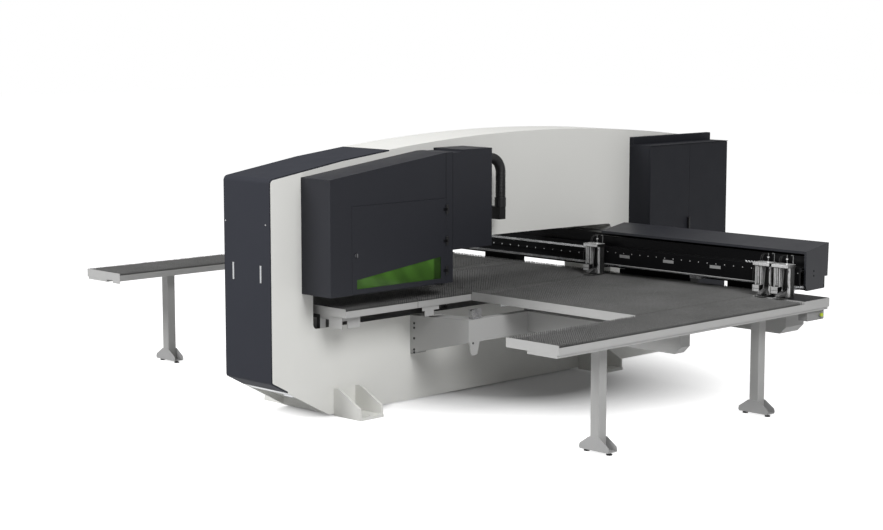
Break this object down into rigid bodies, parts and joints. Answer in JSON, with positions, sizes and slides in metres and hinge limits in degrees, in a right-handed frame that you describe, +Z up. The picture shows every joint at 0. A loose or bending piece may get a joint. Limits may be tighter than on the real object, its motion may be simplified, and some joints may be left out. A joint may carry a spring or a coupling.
{
  "type": "punch and laser sheet metal machine",
  "caption": "Sheet metal punching and laser cutting machine with a long-throat frame, brush tables, a travelling clamp beam, a laser cabin and a control cabinet.",
  "frame": {"origin": "on the floor, midway between the four anchor bolts of the main frame", "axes": "+X across the machine to the laser side, +Y from the front to the rear, +Z up"},
  "size_m": [5.94, 5.593, 2.264],
  "materials": {
    "frame_white": "satin paint",
    "cover_charcoal": "satin paint",
    "grip_grey": "matte",
    "cabin_charcoal": "fine textured paint",
    "beam_black": "satin paint",
    "hinge_steel": "ground",
    "laser_green": "tinted pane",
    "hose_black": "ribbed, matte",
    "plastic_black": "moulded",
    "tool_steel": "machined",
    "laser_silver": "anodised",
    "gear_grey": "moulded",
    "table_edge": "brushed",
    "brush_grey": "bristles",
    "support_grey": "satin paint",
    "shoe_grey": "satin paint",
    "smooth_dark": "smooth",
    "bolt_zinc": "zinc plated",
    "lid_black": "satin paint",
    "clamp_dark": "blackened",
    "switch_grey": "satin paint",
    "button_lime": "moulded"
  },
  "bodies": {
    "machine": {"main_frame": "frame_white", "front_tie_plate": "hinge_steel", "front_cover": "cover_charcoal", "cover_grips": "grip_grey", "frame_feet": "frame_white", "enclosure_shell": "cabin_charcoal", "door_hinges": "hinge_steel", "laser_head_box": "cabin_charcoal", "laser_slide": "hinge_steel", "extraction_hose": "hose_black", "hose_connector": "plastic_black", "cabinet_body": "cabin_charcoal", "cabinet_duct": "cabin_charcoal", "cabinet_gear": "gear_grey", "punch_head": "frame_white", "die_base": "tool_steel", "centre_table": "table_edge", "centre_brush": "brush_grey", "centre_table_brackets": "support_grey", "outer_tables": "table_edge", "outer_brushes": "brush_grey", "smooth_sections": "smooth_dark", "table_legs": "support_grey", "leg_shoes": "shoe_grey", "levelling_pads": "plastic_black", "support_arms": "support_grey", "support_channels": "support_grey", "cross_members": "support_grey", "bracket_bolts": "bolt_zinc", "guide_blocks": "tool_steel", "switch_box": "switch_grey"},
    "enclosure_door": {"enclosure_door": "cabin_charcoal", "door_window": "laser_green", "door_hinge_leaves": "hinge_steel"},
    "door_latch": {"door_latch": "plastic_black"},
    "laser_head": {"laser_head": "laser_silver"},
    "cabinet_door_front": {"cabinet_door_front": "cabin_charcoal"},
    "cabinet_door_rear": {"cabinet_door_rear": "cabin_charcoal"},
    "cabinet_handle": {"cabinet_handle": "plastic_black"},
    "tool_index": {"tool_index_ring": "tool_steel"},
    "punch_tool": {"punch_tool": "tool_steel"},
    "die_holder": {"die_holder": "tool_steel"},
    "y_carriage": {"guide_rails": "hinge_steel", "inner_tables": "table_edge", "inner_brushes": "brush_grey", "beam_saddle": "beam_black", "carriage_beam": "beam_black", "beam_end_caps": "beam_black", "beam_cover": "lid_black", "beam_rails": "hinge_steel", "beam_rack": "hinge_steel"},
    "x_carriage": {"x_carriage": "beam_black", "rail_runners": "tool_steel"},
    "clamp_1": {"clamp_1": "clamp_dark"},
    "clamp_2": {"clamp_2": "clamp_dark"},
    "clamp_3": {"clamp_3": "clamp_dark"},
    "clamp_jaw_1": {"clamp_jaw_1": "clamp_dark"},
    "clamp_jaw_2": {"clamp_jaw_2": "clamp_dark"},
    "clamp_jaw_3": {"clamp_jaw_3": "clamp_dark"},
    "push_button": {"push_button": "button_lime"}
  },
  "joints": [
    {"name": "y_axis", "type": "slide", "parent": "machine", "child": "y_carriage", "axis": [0, 1, 0], "range_m": [-1.27, 0]},
    {"name": "x_axis", "type": "slide", "parent": "y_carriage", "child": "x_carriage", "axis": [1, 0, 0], "range_m": [-3.07, 0]},
    {"name": "clamp_1_slide", "type": "slide", "parent": "x_carriage", "child": "clamp_1", "axis": [1, 0, 0], "range_m": [0, 0.9]},
    {"name": "clamp_2_slide", "type": "slide", "parent": "x_carriage", "child": "clamp_2", "axis": [1, 0, 0], "range_m": [-0.8, 0]},
    {"name": "clamp_3_slide", "type": "slide", "parent": "x_carriage", "child": "clamp_3", "axis": [1, 0, 0], "range_m": [-0.012, 0.04]},
    {"name": "jaw_1_hinge", "type": "hinge", "parent": "clamp_1", "child": "clamp_jaw_1", "pos_m": [0.64, 1.256, 1.003], "axis": [1, 0, 0], "range_deg": [-12, 0]},
    {"name": "jaw_2_hinge", "type": "hinge", "parent": "clamp_2", "child": "clamp_jaw_2", "pos_m": [2.54, 1.256, 1.003], "axis": [1, 0, 0], "range_deg": [-12, 0]},
    {"name": "jaw_3_hinge", "type": "hinge", "parent": "clamp_3", "child": "clamp_jaw_3", "pos_m": [2.73, 1.256, 1.003], "axis": [1, 0, 0], "range_deg": [-12, 0]},
    {"name": "enclosure_door_hinge", "type": "hinge", "parent": "machine", "child": "enclosure_door", "pos_m": [0.657, -0.698, 1.4], "axis": [0, 0, 1], "range_deg": [0, 110]},
    {"name": "door_latch_turn", "type": "hinge", "parent": "enclosure_door", "child": "door_latch", "pos_m": [0.649, -1.713, 1.371], "axis": [1, 0, 0], "range_deg": [0, 90]},
    {"name": "laser_head_lift", "type": "slide", "parent": "machine", "child": "laser_head", "axis": [0, 0, 1], "range_m": [-0.37, 0]},
    {"name": "cabinet_door_front_hinge", "type": "hinge", "parent": "machine", "child": "cabinet_door_front", "pos_m": [0.553, 2.1, 1.2], "axis": [0, 0, 1], "range_deg": [-110, 0]},
    {"name": "cabinet_door_rear_hinge", "type": "hinge", "parent": "machine", "child": "cabinet_door_rear", "pos_m": [0.553, 3.28, 1.2], "axis": [0, 0, 1], "range_deg": [0, 110]},
    {"name": "cabinet_handle_turn", "type": "hinge", "parent": "cabinet_door_front", "child": "cabinet_handle", "pos_m": [0.553, 2.676, 1.3], "axis": [1, 0, 0], "range_deg": [0, 90]},
    {"name": "tool_index_turn", "type": "hinge", "parent": "machine", "child": "tool_index", "pos_m": [0, -0.26, 1.1], "axis": [0, 0, 1], "continuous": true},
    {"name": "die_turn", "type": "hinge", "parent": "machine", "child": "die_holder", "pos_m": [0, -0.26, 0.9], "axis": [0, 0, 1], "continuous": true},
    {"name": "punch_stroke", "type": "slide", "parent": "tool_index", "child": "punch_tool", "axis": [0, 0, 1], "range_m": [-0.03, 0], "stiffness_N_per_m": 20000, "springref_m": 0.01},
    {"name": "button_press", "type": "slide", "parent": "machine", "child": "push_button", "axis": [1, 0, 0], "range_m": [-0.005, 0], "stiffness_N_per_m": 400, "springref_m": 0.002}
  ],
  "couplings": [
    {"joint": "die_turn", "follows": "tool_index_turn", "ratio": 1}
  ]
}
